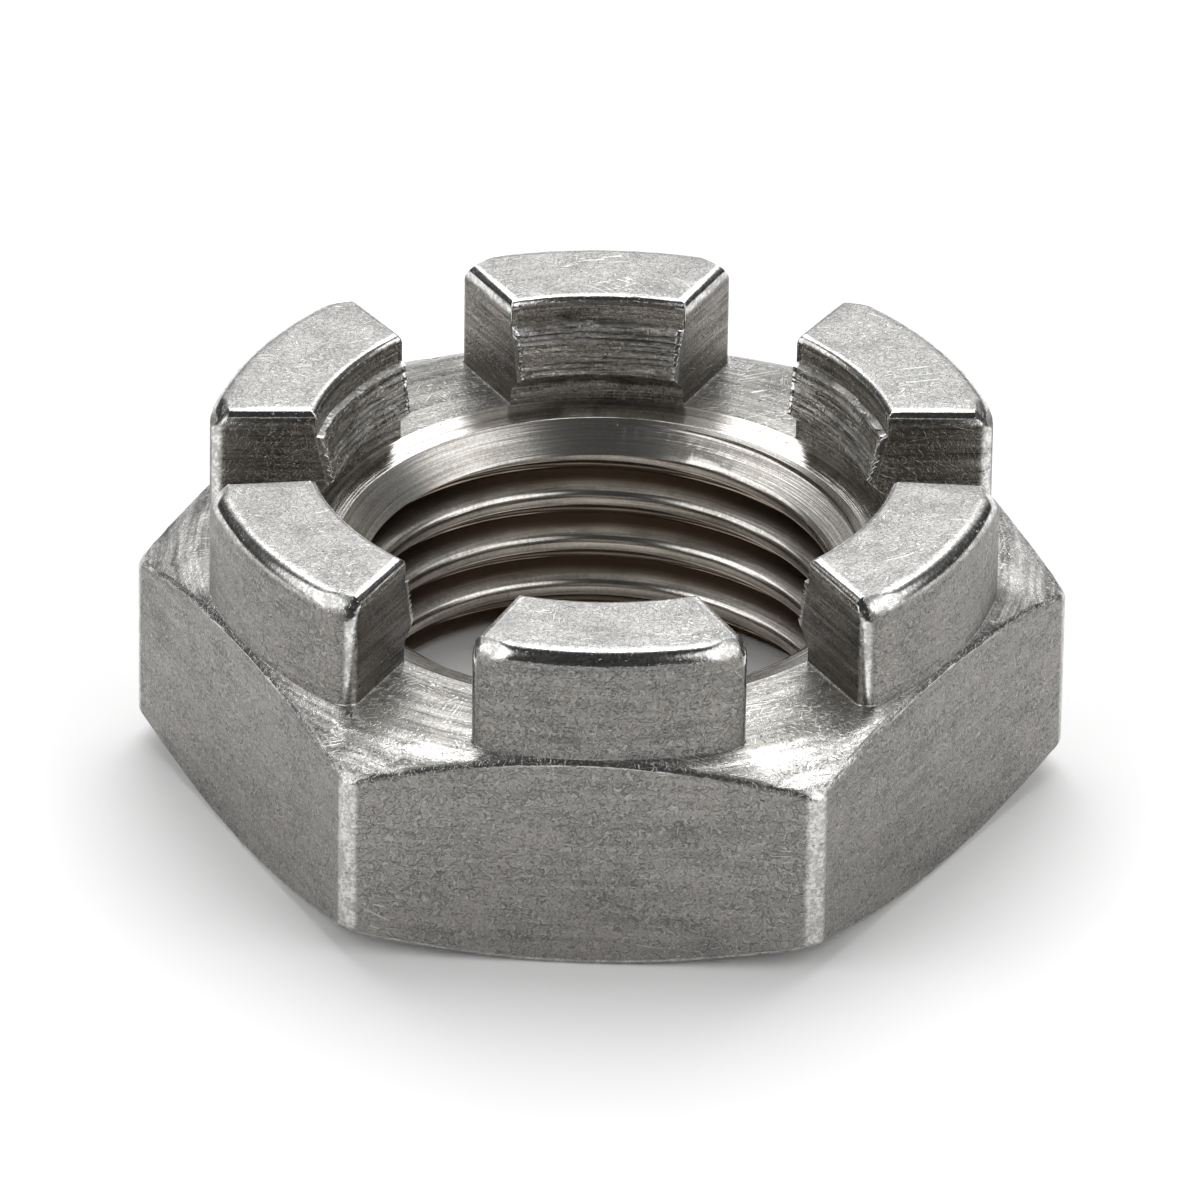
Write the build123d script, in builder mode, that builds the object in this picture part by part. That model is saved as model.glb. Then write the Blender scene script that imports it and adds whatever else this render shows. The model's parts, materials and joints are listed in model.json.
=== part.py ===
from build123d import *
import os
from math import cos, radians, tan

# Hexagonal body
across_flats = 46.0
body_height = 13.4
corner_radius = 1.2
edge_break = 0.2

# Turned outside
bearing_radius = 22.7
bottom_chamfer_angle = 23.0
crown_radius = 22.8
crown_height = 6.8
top_chamfer_angle = 27.0
tip_rounding = 1.5

# Slots between the lugs, and how far they stand round from the corners of the hexagon
slot_passes = 3
slot_width = 7.3
crown_turn = 3.7
lug_side_radius = 1.15
lug_top_radius = 0.95

# Thread
thread_diameter = 30.0
thread_pitch = 3.0
flank_angle = 30.0
mouth_clearance = 0.2
mouth_angle = 52.0
dish_width = 1.4
dish_depth = 0.4

# Bore of the crown, above the thread: an undercut, a face that leans inwards, and a small step near the top
ridge_clearance = 0.6
ridge_height = 2.2
undercut_depth = 1.1
undercut_height = 1.2
crown_bore_angle = 12.0
step_drop = 1.7
step_depth = 0.35

# Sizes that follow from the ones above
apothem = across_flats / 2
corner_reach = apothem / cos(radians(30))
overall_height = body_height + crown_height
bottom_chamfer_height = (corner_reach - bearing_radius) * tan(radians(bottom_chamfer_angle))
top_chamfer_height = (corner_reach - crown_radius) * tan(radians(top_chamfer_angle))
sharp_height = thread_pitch / 2 / tan(radians(flank_angle))
major_radius = thread_diameter / 2
crest_radius = major_radius - sharp_height * 5 / 8
groove_tip_radius = major_radius + sharp_height / 8
mouth_radius = major_radius + mouth_clearance
mouth_depth = (mouth_radius - crest_radius) / tan(radians(mouth_angle))
groove_count = round(body_height / thread_pitch) + 1
groove_cut = sharp_height * 7 / 8
groove_half_width = groove_cut * tan(radians(flank_angle))
root_radius = sharp_height / 8
ridge_radius = major_radius + ridge_clearance
undercut_radius = ridge_radius + undercut_depth
step_inner_radius = ridge_radius + (crown_height - step_drop - ridge_height) * tan(radians(crown_bore_angle))
crown_bore_radius = step_inner_radius + step_depth
mid_lug_radius = (crown_bore_radius + crown_radius) / 2

os.makedirs("parts", exist_ok=True)

with BuildPart() as castle_nut:
    # Hexagonal bar
    with BuildSketch():
        hexagon = RegularPolygon(apothem, 6, major_radius=False)
        fillet(hexagon.vertices(), corner_radius)
    extrude(amount=overall_height)

    # Turned outline: the chamfered bearing face, the sloping shoulders and the round crown
    with BuildSketch(Plane.XZ):
        with BuildLine():
            Polyline(
                (0, 0),
                (bearing_radius, 0),
                (corner_reach, bottom_chamfer_height),
                (corner_reach, body_height - top_chamfer_height),
                (crown_radius, body_height),
                (crown_radius, overall_height),
                (0, overall_height),
                close=True,
            )
        outline = make_face()
        tips = outline.vertices().group_by(Axis.X)[-1]
        fillet(tips, tip_rounding)
    revolve(mode=Mode.INTERSECT)

    # The arcs where the flats meet the turned cones and rounded tips, slightly broken
    turned = castle_nut.faces().filter_by(lambda f: f.geom_type in (GeomType.CONE, GeomType.TORUS))
    arcs = turned.edges().filter_by(lambda e: e.geom_type in (GeomType.HYPERBOLA, GeomType.BSPLINE))
    fillet(arcs, edge_break)

    # Slots, each pass milling two opposite ones
    with BuildSketch(Plane.XY.offset(body_height)):
        with PolarLocations(0, slot_passes, start_angle=crown_turn, angular_range=180):
            Rectangle(2 * corner_reach, slot_width)
    extrude(amount=crown_height, mode=Mode.SUBTRACT)

    # Bore: a countersink at each end of the thread, a shallow dish over the upper one, and the crown's wider bore
    with BuildSketch(Plane.XZ):
        with BuildLine():
            Polyline(
                (0, 0),
                (mouth_radius, 0),
                (crest_radius, mouth_depth),
                (crest_radius, body_height - dish_depth - mouth_depth),
                (mouth_radius, body_height - dish_depth),
                (mouth_radius + dish_width, body_height),
                (undercut_radius, body_height),
                (undercut_radius, body_height + undercut_height),
                (ridge_radius, body_height + ridge_height),
                (step_inner_radius, overall_height - step_drop),
                (crown_bore_radius, overall_height - step_drop),
                (crown_bore_radius, overall_height),
                (0, overall_height),
                close=True,
            )
        make_face()
    revolve(mode=Mode.SUBTRACT)

    # Lug edges: the outer uprights, then all round each top
    uprights = castle_nut.edges().filter_by(Axis.Z).filter_by_position(Axis.Z, body_height, overall_height)
    outer_uprights = uprights.filter_by(lambda e: Vector(e.center().X, e.center().Y).length > mid_lug_radius)
    fillet(outer_uprights, lug_side_radius)
    lug_tops = castle_nut.faces().filter_by(Axis.Z).group_by(Axis.Z)[-1]
    fillet(lug_tops.edges(), lug_top_radius)

    # Thread section, with round roots: the grooves are closed rings, without the lead of the real helix
    with BuildSketch(Plane.XZ) as groove_section:
        with Locations((groove_tip_radius, body_height / 2)):
            with GridLocations(thread_pitch, thread_pitch, 1, groove_count):
                Polygon(
                    (-groove_cut, -groove_half_width),
                    (0, 0),
                    (-groove_cut, groove_half_width),
                    align=None,
                )
        roots = groove_section.vertices().group_by(Axis.X)[-1]
        fillet(roots, root_radius)
    revolve(mode=Mode.SUBTRACT)

castle_nut.part.label = "castle_nut"
export_step(castle_nut.part, "parts/castle_nut.step")
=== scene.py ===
import json
from math import asin, cos, hypot, pi, radians, sin, tan

import bmesh
import bpy
from mathutils import Matrix, Vector, noise


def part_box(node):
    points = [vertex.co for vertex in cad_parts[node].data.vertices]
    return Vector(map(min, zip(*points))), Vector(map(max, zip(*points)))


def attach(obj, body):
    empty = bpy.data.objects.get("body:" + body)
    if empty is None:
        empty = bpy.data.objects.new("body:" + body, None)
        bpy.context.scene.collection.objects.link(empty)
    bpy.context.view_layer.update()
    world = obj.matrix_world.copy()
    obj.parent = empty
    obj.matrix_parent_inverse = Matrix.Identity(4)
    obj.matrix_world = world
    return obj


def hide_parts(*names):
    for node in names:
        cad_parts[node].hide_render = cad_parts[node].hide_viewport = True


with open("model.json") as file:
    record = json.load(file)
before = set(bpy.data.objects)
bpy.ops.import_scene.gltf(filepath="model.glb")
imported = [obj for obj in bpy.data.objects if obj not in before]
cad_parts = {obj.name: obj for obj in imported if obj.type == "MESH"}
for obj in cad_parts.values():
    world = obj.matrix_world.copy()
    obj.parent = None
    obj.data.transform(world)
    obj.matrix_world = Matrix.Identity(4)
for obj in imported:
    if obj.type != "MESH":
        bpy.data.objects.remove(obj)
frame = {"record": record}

# The nut is modelled in millimetres about the frame's origin, and brought to metres at the end
metre = 1000.0
cadLow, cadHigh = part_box("castle_nut")
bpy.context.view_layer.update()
threadMount = next(mount for mount in frame["record"]["mounts"] if mount["name"] == "thread")
smoothAngle = radians(34)

# How near two vertices are when they are merged, after each step
mergeGaps = {"section": 0.0001, "spin": 0.001, "hexagon": 0.004, "tips": 0.04, "helix": 0.002, "nut": 0.003}

hexSizes = {
    "acrossFlats": (cadHigh.y - cadLow.y) * metre,
    "height": (cadHigh.z - cadLow.z) * metre,
    "cornerRound": 1.2,
    "cornerSegments": 7,
    "bearingRadius": 22.7,
    "bottomAngle": radians(23),
    "topAngle": radians(27),
    "tipRound": 1.5,
    "tipSteps": 7,
    "arcNarrow": 0.17,
    "arcWide": 0.36,
    "arcStart": 0.15,
    "arcRun": 1.2,
    "arcSteps": 4,
    "flatTilt": 0.05,  # upward parts of the normals beside an arc
    "coneTilts": (0.8, 0.95),
    "chipDepth": 0.07,
    "chipSize": 0.6,
    "chipTilts": (0.08, 0.87),
    "crownGap": 0.1,
    "turnSteps": 240,
    "stockSpare": 1.0,
}

crownSizes = {
    "radius": 22.8,
    "height": 6.8,
    "slotWidth": 7.3,
    "slotTurn": radians(3.7),
    "lugs": 6,
    "outerRound": 1.1,
    "uprightRound": 1.15,
    "wallRound": 0.45,
    "innerRound": 0.55,
    "burrRound": 0.08,
    "cornerCut": 1.16,
    "cornerKeep": 0.25,
    "cornerFacing": (0.42, 0.68, 0.6),
    "seamRound": 0.12,
    "roundSteps": 8,
    "dentDepth": 0.035,
    "dentSize": 0.85,
    "dentShift": 9.1,  # keeps the lugs' dents apart
    "dentMargin": 0.2,
    "waveDepth": 0.02,
    "roundShare": 0.12,
    "cornerShare": 0.08,
    "footDepth": 0.4,
    "stepDrop": 1.7,
    "stepDepth": 0.4,
    "leanAngle": radians(12),
    "ridgeRadius": 15.6,
    "ridgeHeight": 2.2,
    "undercutRadius": 16.7,
    "undercutHeight": 1.15,
    "sideCuts": 34,
    # Level cuts above the body: from, to and step
    "levelBands": (
        (0.02, 0.18, 0.04), (0.3, 1.0, 0.2), (1.05, 2.2, 0.12), (2.2, 5.2, 0.075), (5.25, 6.3, 0.2),
    ),
}

tornSizes = {
    "ridgePitch": 0.36,
    "ridgeDepth": 0.2,
    "wobble": 0.16,
    "wobbleScale": (0.35, 0.25),
    "cutScale": (0.12, 1.7),
    "cutShares": (0.8, 1.6),
    "tearDepth": 0.12,
    "tearLength": 4.5,
    "tearHeight": 0.3,
    "tearNoise": (0.8, 2.1, 3),  # roughness, scale and number of octaves
    "shift": 11.7,  # keeps the lugs' tears apart
}

threadSizes = {
    "crestRadius": threadMount["dims"]["r_mm"],
    "rootRadius": 15.0,
    "pitch": 3.0,
    "flankAngle": radians(30),
    "crestRound": 0.55,
    "rootRound": 0.28,
    "mouthRadius": 15.2,
    "mouthRound": 0.15,
    "mouthAngle": radians(52),
    "dishWidth": 1.4,
    "dishDepth": 0.4,
    "dishRound": 0.08,
    "stepsPerTurn": 144,
    "roundSteps": 6,
    "rootHeight": 0.26,
    "coreSpare": 0.4,
    "spareTurns": 3,
    "tapBelow": 1.0,
    "tapAbove": 0.8,
}

bodyHeight = hexSizes["height"] - crownSizes["height"]
cornerReach = hexSizes["acrossFlats"] / 2 / cos(radians(30))


def openMesh(piece):
    bpy.ops.object.select_all(action="DESELECT")
    piece.select_set(True)
    bpy.context.view_layer.objects.active = piece
    bpy.ops.object.mode_set(mode="EDIT")
    bpy.ops.mesh.select_mode(type="VERT")
    bpy.ops.mesh.select_all(action="SELECT")


def closeMesh():
    bpy.ops.object.mode_set(mode="OBJECT")


def selectEdges(piece, wanted):
    bpy.ops.mesh.select_mode(type="EDGE")
    bpy.ops.mesh.select_all(action="DESELECT")
    mesh = bmesh.from_edit_mesh(piece.data)
    mesh.normal_update()
    for edge in mesh.edges:
        if wanted(edge):
            edge.select_set(True)
    bmesh.update_edit_mesh(piece.data)


def roundedPath(corners, segments):
    # corners are (radius, height, rounding), in order round the section
    path = []
    for i, (radius, height, rounding) in enumerate(corners):
        here = Vector((radius, height))
        if not rounding:
            path.append(here)
            continue
        before = (Vector(corners[i - 1][:2]) - here).normalized()
        after = (Vector(corners[(i + 1) % len(corners)][:2]) - here).normalized()
        half = before.angle(after) / 2
        centre = here + (before + after).normalized() * rounding / sin(half)
        arm = here + before * rounding / tan(half) - centre
        turn = pi - 2 * half
        if arm.cross(here + after * rounding / tan(half) - centre) < 0:
            turn = -turn
        for k in range(segments + 1):
            path.append(centre + Matrix.Rotation(turn * k / segments, 2) @ arm)
    return path


def drawSection(name, path, closed):
    # One vertex, extruded from point to point in the XZ plane
    bpy.ops.object.select_all(action="DESELECT")
    bpy.ops.mesh.primitive_plane_add(size=1, location=(0, 0, 0))
    piece = bpy.context.object
    piece.name = name
    openMesh(piece)
    bpy.ops.mesh.merge(type="CENTER")
    bpy.ops.transform.translate(value=(path[0].x, 0, path[0].y))
    stops = path + path[:1] if closed else path
    for last, point in zip(stops, stops[1:]):
        step = point - last
        bpy.ops.mesh.extrude_vertices_move(TRANSFORM_OT_translate={"value": (step.x, 0, step.y)})
    bpy.ops.mesh.select_all(action="SELECT")
    bpy.ops.mesh.remove_doubles(threshold=mergeGaps["section"])
    return piece


def carve(piece, tool, operation):
    bpy.ops.object.select_all(action="DESELECT")
    bpy.context.view_layer.objects.active = piece
    piece.select_set(True)
    modifier = piece.modifiers.new("carve", "BOOLEAN")
    modifier.operation = operation
    modifier.solver = "EXACT"
    modifier.object = tool
    bpy.ops.object.modifier_apply(modifier="carve")
    bpy.data.objects.remove(tool)


def turnBlank():
    # A ring with the bearing face, both cones, the ledge under the crown and the mouths of the thread
    outer = cornerReach + hexSizes["stockSpare"]
    coreRadius = threadSizes["crestRadius"] - threadSizes["coreSpare"]
    mouthDrop = (threadSizes["mouthRadius"] - coreRadius) / tan(threadSizes["mouthAngle"])
    corners = [
        (threadSizes["mouthRadius"], 0, threadSizes["mouthRound"]),
        (hexSizes["bearingRadius"], 0, 0),
        (outer, (outer - hexSizes["bearingRadius"]) * tan(hexSizes["bottomAngle"]), 0),
        (outer, bodyHeight - (outer - crownSizes["radius"]) * tan(hexSizes["topAngle"]), 0),
        (crownSizes["radius"], bodyHeight, 0),
        (threadSizes["mouthRadius"] + threadSizes["dishWidth"], bodyHeight, threadSizes["dishRound"]),
        (threadSizes["mouthRadius"], bodyHeight - threadSizes["dishDepth"], threadSizes["mouthRound"]),
        (coreRadius, bodyHeight - threadSizes["dishDepth"] - mouthDrop, 0),
        (coreRadius, mouthDrop, 0),
    ]
    blank = drawSection("nutBody", roundedPath(corners, threadSizes["roundSteps"]), True)
    bpy.ops.mesh.spin(steps=hexSizes["turnSteps"], angle=2 * pi, center=(0, 0, 0), axis=(0, 0, 1))
    bpy.ops.mesh.select_all(action="SELECT")
    bpy.ops.mesh.remove_doubles(threshold=mergeGaps["spin"])
    bpy.ops.mesh.normals_make_consistent(inside=False)
    closeMesh()
    return blank


def millHexagon(blank):
    height = hexSizes["height"]
    bpy.ops.object.select_all(action="DESELECT")
    bpy.ops.mesh.primitive_cylinder_add(
        vertices=6,
        radius=cornerReach,
        depth=height + 2 * hexSizes["stockSpare"],
        location=(0, 0, height / 2),
        rotation=(0, 0, radians(30)),
    )
    bar = bpy.context.object
    bpy.ops.object.transform_apply()
    openMesh(bar)
    selectEdges(bar, lambda edge: abs(edge.verts[0].co.z - edge.verts[1].co.z) > height)
    bpy.ops.mesh.bevel(
        offset=hexSizes["cornerRound"] * tan(radians(30)),
        offset_type="OFFSET",
        segments=hexSizes["cornerSegments"],
        affect="EDGES",
        clamp_overlap=False,
    )
    closeMesh()
    carve(blank, bar, "INTERSECT")
    rollArcs(blank)
    roundTips(blank)
    chipArcs(blank)


def rollArcs(blank):
    # The arcs where the flats and corners meet the turned cones, rolled over more towards the corners
    openMesh(blank)
    bpy.ops.mesh.remove_doubles(threshold=mergeGaps["hexagon"])
    closeMesh()
    mesh = bmesh.new()
    mesh.from_mesh(blank.data)
    mesh.normal_update()
    weights = mesh.edges.layers.float.new("bevel_weight_edge")
    gentlest, steepest = hexSizes["coneTilts"]
    for edge in mesh.edges:
        middle = (edge.verts[0].co + edge.verts[1].co) / 2
        radius = hypot(middle.x, middle.y)
        upright, sloping = sorted(abs(face.normal.z) for face in edge.link_faces)
        onArc = upright < hexSizes["flatTilt"] and gentlest < sloping < steepest
        if onArc and radius > crownSizes["radius"] + hexSizes["crownGap"]:
            past = radius - hexSizes["acrossFlats"] / 2 - hexSizes["arcStart"]
            share = min(1, max(0, past) / hexSizes["arcRun"])
            width = hexSizes["arcNarrow"] + (hexSizes["arcWide"] - hexSizes["arcNarrow"]) * share
            edge[weights] = width / hexSizes["arcWide"]
    mesh.to_mesh(blank.data)
    mesh.free()
    bevel = blank.modifiers.new("arcs", "BEVEL")
    bevel.limit_method = "WEIGHT"
    bevel.offset_type = "OFFSET"
    bevel.width = hexSizes["arcWide"]
    bevel.segments = hexSizes["arcSteps"]
    bevel.use_clamp_overlap = False
    bpy.ops.object.select_all(action="DESELECT")
    bpy.context.view_layer.objects.active = blank
    bpy.ops.object.modifier_apply(modifier="arcs")


def roundTips(blank):
    # Where a corner meets a cone, its tip is drawn in onto a ring of round section
    reach = hexSizes["tipRound"]
    ring = cornerReach - reach
    tips = (
        (hexSizes["topAngle"], crownSizes["radius"], bodyHeight, 1),
        (hexSizes["bottomAngle"], hexSizes["bearingRadius"], 0, -1),
    )
    for slope, startRadius, startHeight, side in tips:
        drop = (ring + reach * sin(slope) - startRadius) * tan(slope) + reach * cos(slope)
        height = startHeight - side * drop
        openMesh(blank)
        for k in range(hexSizes["tipSteps"] + 1):
            turn = (pi / 2 - slope) * k / hexSizes["tipSteps"]
            bpy.ops.mesh.select_mode(type="FACE")
            bpy.ops.mesh.select_all(action="DESELECT")
            mesh = bmesh.from_edit_mesh(blank.data)
            for face in mesh.faces:
                if any(hypot(vertex.co.x, vertex.co.y) > ring for vertex in face.verts):
                    face.select_set(True)
            bmesh.update_edit_mesh(blank.data)
            bpy.ops.mesh.bisect(plane_co=(0, 0, height + side * reach * sin(turn)), plane_no=(0, 0, 1))
        closeMesh()
        for vertex in blank.data.vertices:
            radius, up = hypot(vertex.co.x, vertex.co.y), (vertex.co.z - height) * side
            length = hypot(radius - ring, up)
            if radius > ring and up > 0 and length > reach:
                pulled = (ring + (radius - ring) * reach / length) / radius
                vertex.co = (vertex.co.x * pulled, vertex.co.y * pulled, height + side * up * reach / length)
    openMesh(blank)
    bpy.ops.mesh.select_all(action="DESELECT")
    mesh = bmesh.from_edit_mesh(blank.data)
    for vertex in mesh.verts:
        vertex.select_set(hypot(vertex.co.x, vertex.co.y) > ring)
    bmesh.update_edit_mesh(blank.data)
    bpy.ops.mesh.remove_doubles(threshold=mergeGaps["tips"])
    closeMesh()


def chipArcs(blank):
    # Small chips in the rolled arcs and tips
    mesh = bmesh.new()
    mesh.from_mesh(blank.data)
    mesh.normal_update()
    innermost = crownSizes["radius"] + hexSizes["crownGap"]
    lowest, highest = hexSizes["chipTilts"]
    for vertex in mesh.verts:
        radius = hypot(vertex.co.x, vertex.co.y)
        tilts = [abs(face.normal.z) for face in vertex.link_faces]
        if radius > innermost and min(tilts) > lowest and max(tilts) < highest:
            chip = 0.5 + 0.5 * noise.noise(vertex.co / hexSizes["chipSize"])
            vertex.co -= vertex.normal * hexSizes["chipDepth"] * max(0, chip)
    mesh.to_mesh(blank.data)
    mesh.free()


def innerFace(level, across, seed):
    # Radius of a lug's inner face at a level: undercut, torn face that leans inwards, then a step to the top
    stepLevel = hexSizes["height"] - crownSizes["stepDrop"]
    ridgeLevel = bodyHeight + crownSizes["ridgeHeight"]
    undercutLevel = bodyHeight + crownSizes["undercutHeight"]
    lean = tan(crownSizes["leanAngle"])
    alongScale, upScale = tornSizes["wobbleScale"]
    level += tornSizes["wobble"] * noise.noise(Vector((across * alongScale, level * upScale, seed)))
    if level < undercutLevel:
        return crownSizes["undercutRadius"]
    if level < ridgeLevel:
        share = (level - undercutLevel) / (ridgeLevel - undercutLevel)
        return crownSizes["undercutRadius"] * (1 - share) + crownSizes["ridgeRadius"] * share
    if level > stepLevel:
        return crownSizes["ridgeRadius"] + (stepLevel - ridgeLevel) * lean + crownSizes["stepDepth"]
    place = (level - ridgeLevel) / tornSizes["ridgePitch"]
    tooth = place % 1
    alongScale, ridgeScale = tornSizes["cutScale"]
    cut = noise.noise(Vector((across * alongScale, round(place - tooth) * ridgeScale, seed)))
    tearPlace = Vector((across / tornSizes["tearLength"], seed, level / tornSizes["tearHeight"]))
    tear = noise.fractal(tearPlace, *tornSizes["tearNoise"])
    evenShare, cutShare = tornSizes["cutShares"]
    depth = tornSizes["ridgeDepth"] * tooth**2 * (evenShare + cutShare * cut) + tear * tornSizes["tearDepth"]
    return crownSizes["ridgeRadius"] + (level - ridgeLevel) * lean + max(0, depth)


def lugReach():
    # Inner radius, middle radius and half the width of a lug at its middle radius
    innerRadius = innerFace(hexSizes["height"], 0, 0)
    middleRadius = (innerRadius + crownSizes["radius"]) / 2
    halfAngle = pi / crownSizes["lugs"] - asin(crownSizes["slotWidth"] / 2 / middleRadius)
    return innerRadius, middleRadius, middleRadius * halfAngle


def makeLugBlock():
    # A straight block, its sides across and its depth along the radius, rounded and cut into fine faces
    top = hexSizes["height"]
    foot = bodyHeight - crownSizes["footDepth"]
    innerRadius, middleRadius, halfSide = lugReach()
    largest = max(crownSizes[edge] for edge in ("outerRound", "uprightRound", "wallRound", "innerRound"))
    bpy.ops.object.select_all(action="DESELECT")
    bpy.ops.mesh.primitive_cube_add(
        size=1,
        location=(0, middleRadius, (top + foot) / 2),
        scale=(2 * halfSide, crownSizes["radius"] - innerRadius, top - foot),
    )
    block = bpy.context.object
    block.name = "lugBlock"
    bpy.ops.object.transform_apply()
    weights = block.data.attributes.new("bevel_weight_edge", "FLOAT", "EDGE")
    for edge in block.data.edges:
        ends = [block.data.vertices[i].co for i in edge.vertices]
        middle = (ends[0] + ends[1]) / 2
        if middle.z < foot + 0.01:
            rounding = 0
        elif abs(ends[0].z - ends[1].z) > 1:
            rounding = crownSizes["uprightRound"] if middle.y > middleRadius else crownSizes["burrRound"]
        elif abs(ends[0].y - ends[1].y) > 1:
            rounding = crownSizes["wallRound"]
        else:
            rounding = crownSizes["outerRound"] if middle.y > middleRadius else crownSizes["innerRound"]
        weights.data[edge.index].value = rounding / largest
    bevel = block.modifiers.new("edges", "BEVEL")
    bevel.limit_method = "WEIGHT"
    bevel.offset_type = "OFFSET"
    bevel.width = largest
    bevel.segments = crownSizes["roundSteps"]
    bevel.use_clamp_overlap = False
    bpy.ops.object.modifier_apply(modifier="edges")

    openMesh(block)
    for k in range(1, crownSizes["sideCuts"]):
        side = halfSide * (2 * k / crownSizes["sideCuts"] - 1)
        bpy.ops.mesh.select_all(action="SELECT")
        bpy.ops.mesh.bisect(plane_co=(side, 0, 0), plane_no=(1, 0, 0))
    for low, high, gap in crownSizes["levelBands"]:
        for k in range(int((high - low) / gap)):
            bpy.ops.mesh.select_all(action="SELECT")
            bpy.ops.mesh.bisect(plane_co=(0, 0, bodyHeight + low + k * gap), plane_no=(0, 0, 1))
    closeMesh()
    return block


def bendLug(lug, number):
    # Flattens the lug's outer top corners, dents its edges, tears its inner face and bends it onto the crown
    top = hexSizes["height"]
    innerRadius, middleRadius, halfSide = lugReach()
    halfPitch = pi / crownSizes["lugs"]
    direction = crownSizes["slotTurn"] + (2 * number + 1) * halfPitch
    cornerFacing = Vector(crownSizes["cornerFacing"]).normalized()
    belowTop = top - 0.001
    margin = crownSizes["dentMargin"]
    for vertex in lug.data.vertices:
        across, radius, level = vertex.co
        facing = vertex.normal
        offEdges = Vector((halfSide - abs(across), crownSizes["radius"] - radius, top - level))
        offCorner = offEdges.dot(cornerFacing)
        if offCorner < crownSizes["cornerCut"]:
            inwards = cornerFacing * (crownSizes["cornerCut"] - offCorner) * (1 - crownSizes["cornerKeep"])
            across -= inwards.x if across > 0 else -inwards.x
            radius -= inwards.y
            level -= inwards.z
        elif bodyHeight + margin < level < belowTop and radius > innerRadius + margin:
            onRound = min(1, (1 - max(abs(part) for part in facing)) / crownSizes["roundShare"])
            onCorner = min(1, min(abs(part) for part in facing) / crownSizes["cornerShare"])
            depth = crownSizes["waveDepth"] * (1 - onRound)
            depth += crownSizes["dentDepth"] * onRound * (1 - onCorner)
            shift = Vector((number * crownSizes["dentShift"], 0, 0))
            depth *= max(0, 0.5 + 0.5 * noise.noise(vertex.co / crownSizes["dentSize"] + shift))
            across -= facing.x * depth
            radius -= facing.y * depth
            level -= facing.z * depth
        if radius < innerRadius + crownSizes["innerRound"] and level < belowTop:
            share = (innerRadius + crownSizes["innerRound"] - radius) / crownSizes["innerRound"]
            radius += (innerFace(level, across, number * tornSizes["shift"]) - innerRadius) * share
        seam = max(0, crownSizes["seamRound"] - max(0, level - bodyHeight))
        flare = crownSizes["seamRound"] - (crownSizes["seamRound"] ** 2 - seam**2) ** 0.5
        turn = across / halfSide * (halfPitch - asin((crownSizes["slotWidth"] / 2 - flare) / radius))
        vertex.co = (radius * cos(direction - turn), radius * sin(direction - turn), min(level, top))


def raiseLugs(nutBody):
    lug = makeLugBlock()
    bpy.ops.object.select_all(action="DESELECT")
    for number in range(crownSizes["lugs"]):
        copied = bpy.data.objects.new(f"lug{number}", lug.data.copy())
        bpy.context.collection.objects.link(copied)
        bendLug(copied, number)
        copied.select_set(True)
        bpy.context.view_layer.objects.active = copied
    bpy.data.objects.remove(lug)
    bpy.ops.object.join()
    carve(nutBody, bpy.context.object, "UNION")


def tapThread(nutBody):
    # One turn of the true section, screwed into a right-hand tap
    crest, root, pitch = threadSizes["crestRadius"], threadSizes["rootRadius"], threadSizes["pitch"]
    flank = (root - crest) * tan(threadSizes["flankAngle"])
    crestFlat = pitch / 4
    rootFlat = pitch - crestFlat - 2 * flank
    corners = [
        (root, 0, 0),
        (root, rootFlat / 2, threadSizes["rootRound"]),
        (crest, rootFlat / 2 + flank, threadSizes["crestRound"]),
        (crest, pitch - rootFlat / 2 - flank, threadSizes["crestRound"]),
        (root, pitch - rootFlat / 2, threadSizes["rootRound"]),
        (root, pitch, 0),
    ]
    tap = drawSection("tap", roundedPath(corners, threadSizes["roundSteps"]), False)
    closeMesh()
    turns = round(bodyHeight / pitch) + threadSizes["spareTurns"]
    helix = tap.modifiers.new("helix", "SCREW")
    helix.axis = "Z"
    helix.steps = helix.render_steps = threadSizes["stepsPerTurn"]
    helix.angle = 2 * pi
    helix.screw_offset = pitch
    helix.iterations = turns
    bpy.ops.object.modifier_apply(modifier="helix")
    openMesh(tap)
    bpy.ops.mesh.remove_doubles(threshold=mergeGaps["helix"])
    bpy.ops.mesh.normals_make_consistent(inside=False)
    bpy.ops.transform.translate(value=(0, 0, threadSizes["rootHeight"] - 2 * pitch))
    bottom, top = -threadSizes["tapBelow"], bodyHeight + threadSizes["tapAbove"]
    bpy.ops.mesh.bisect(plane_co=(0, 0, bottom), plane_no=(0, 0, 1), use_fill=True, clear_inner=True)
    bpy.ops.mesh.select_all(action="SELECT")
    bpy.ops.mesh.bisect(plane_co=(0, 0, top), plane_no=(0, 0, 1), use_fill=True, clear_outer=True)
    bpy.ops.mesh.select_all(action="SELECT")
    bpy.ops.mesh.normals_make_consistent(inside=False)
    closeMesh()
    carve(nutBody, tap, "DIFFERENCE")


print("Turning the blank")
nutBody = turnBlank()
print("Milling the hexagon")
millHexagon(nutBody)
print("Raising the lugs")
raiseLugs(nutBody)
print("Tapping the thread")
tapThread(nutBody)

openMesh(nutBody)
bpy.ops.mesh.remove_doubles(threshold=mergeGaps["nut"])
bpy.ops.mesh.dissolve_degenerate(threshold=mergeGaps["nut"])
bpy.ops.transform.resize(value=(1 / metre,) * 3, center_override=(0, 0, 0))
closeMesh()
bpy.ops.object.shade_smooth_by_angle(angle=smoothAngle)
weighted = nutBody.modifiers.new("flatsFirst", "WEIGHTED_NORMAL")
weighted.keep_sharp = True
bpy.ops.object.modifier_apply(modifier="flatsFirst")

count = bmesh.new()
count.from_mesh(nutBody.data)
print("faces", len(count.faces), "open edges", sum(len(edge.link_faces) != 2 for edge in count.edges))
print("triangles", sum(len(face.verts) - 2 for face in count.faces), "volume", count.calc_volume() * 1e9)
count.free()

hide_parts("castle_nut")
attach(nutBody, "root")


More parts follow.
